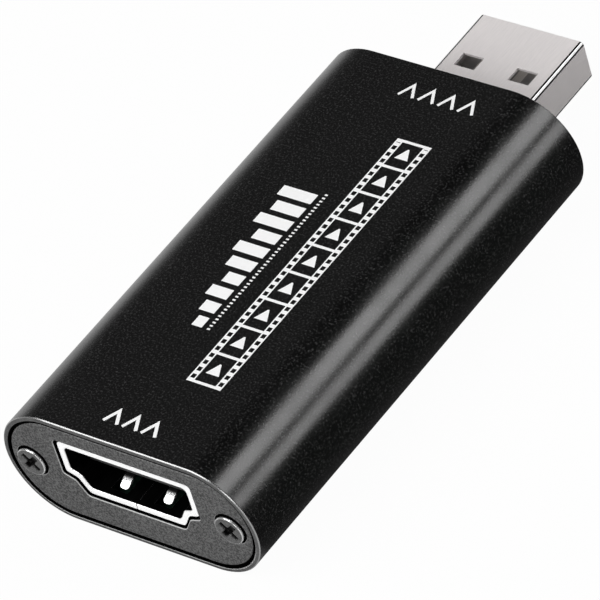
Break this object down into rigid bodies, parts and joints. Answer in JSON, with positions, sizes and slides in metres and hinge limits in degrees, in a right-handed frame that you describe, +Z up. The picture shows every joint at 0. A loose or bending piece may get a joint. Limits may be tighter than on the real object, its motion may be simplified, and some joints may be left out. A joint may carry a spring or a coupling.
{
  "type": "video capture box",
  "caption": "Stick-shaped video capture box: a rounded extruded metal case with a video socket with sprung contacts in one end and a folded-shell data plug on the other.",
  "frame": {"origin": "middle of the housing's flat underside", "axes": "+Y along the box from the video socket to the data plug, +Z up through the printed top, +X across the box"},
  "size_m": [0.029, 0.0664, 0.0128],
  "materials": {
    "anodised_case": "matte",
    "plate_metal": "matte",
    "screw_steel": "satin",
    "shell_steel": "satin",
    "spring_steel": "polished",
    "contact_metal": "polished",
    "black_moulding": "matte",
    "white_moulding": "satin",
    "board_laminate": "satin",
    "chip_moulding": "matte",
    "lead_tin": "satin",
    "crystal_ceramic": "matte",
    "lid_metal": "satin",
    "core_ferrite": "matte",
    "capacitor_ceramic": "satin",
    "resistor_film": "satin",
    "fuse_green": "satin",
    "white_print": "satin"
  },
  "bodies": {
    "box": {"housing": "anodised_case", "input_end_plate": "plate_metal", "output_end_plate": "plate_metal", "input_plate_screws": "screw_steel", "output_plate_screws": "screw_steel", "socket_shell": "shell_steel", "socket_insulator": "black_moulding", "socket_upper_contacts": "contact_metal", "socket_lower_contacts": "contact_metal", "plug_shell": "shell_steel", "plug_insulator": "white_moulding", "plug_contacts": "contact_metal", "circuit_board": "board_laminate", "capture_chip_body": "chip_moulding", "capture_chip_leads": "lead_tin", "memory_chip": "chip_moulding", "crystal_base": "crystal_ceramic", "crystal_lid": "lid_metal", "voltage_regulator": "chip_moulding", "power_inductor": "core_ferrite", "bulk_capacitors": "capacitor_ceramic", "small_capacitors": "capacitor_ceramic", "small_resistors": "resistor_film", "signal_chokes": "core_ferrite", "surge_arrays": "chip_moulding", "supply_fuse": "fuse_green"},
    "lower_left_leaf": {"lower_left_spring": "spring_steel"},
    "lower_right_leaf": {"lower_right_spring": "spring_steel"},
    "upper_left_leaf": {"upper_left_spring": "spring_steel"},
    "upper_right_leaf": {"upper_right_spring": "spring_steel"}
  },
  "joints": [
    {"name": "lower_left_flex", "type": "hinge", "parent": "box", "child": "lower_left_leaf", "pos_m": [-0.0025, -0.0199, 0.00478], "axis": [1, 0, 0], "range_deg": [0, 6], "stiffness_Nm_per_rad": 0.12},
    {"name": "lower_right_flex", "type": "hinge", "parent": "box", "child": "lower_right_leaf", "pos_m": [0.0025, -0.0199, 0.00478], "axis": [1, 0, 0], "range_deg": [0, 6], "stiffness_Nm_per_rad": 0.12},
    {"name": "upper_left_flex", "type": "hinge", "parent": "box", "child": "upper_left_leaf", "pos_m": [-0.0025, -0.0199, 0.00958], "axis": [-1, 0, 0], "range_deg": [0, 6], "stiffness_Nm_per_rad": 0.12},
    {"name": "upper_right_flex", "type": "hinge", "parent": "box", "child": "upper_right_leaf", "pos_m": [0.0025, -0.0199, 0.00958], "axis": [-1, 0, 0], "range_deg": [0, 6], "stiffness_Nm_per_rad": 0.12}
  ]
}
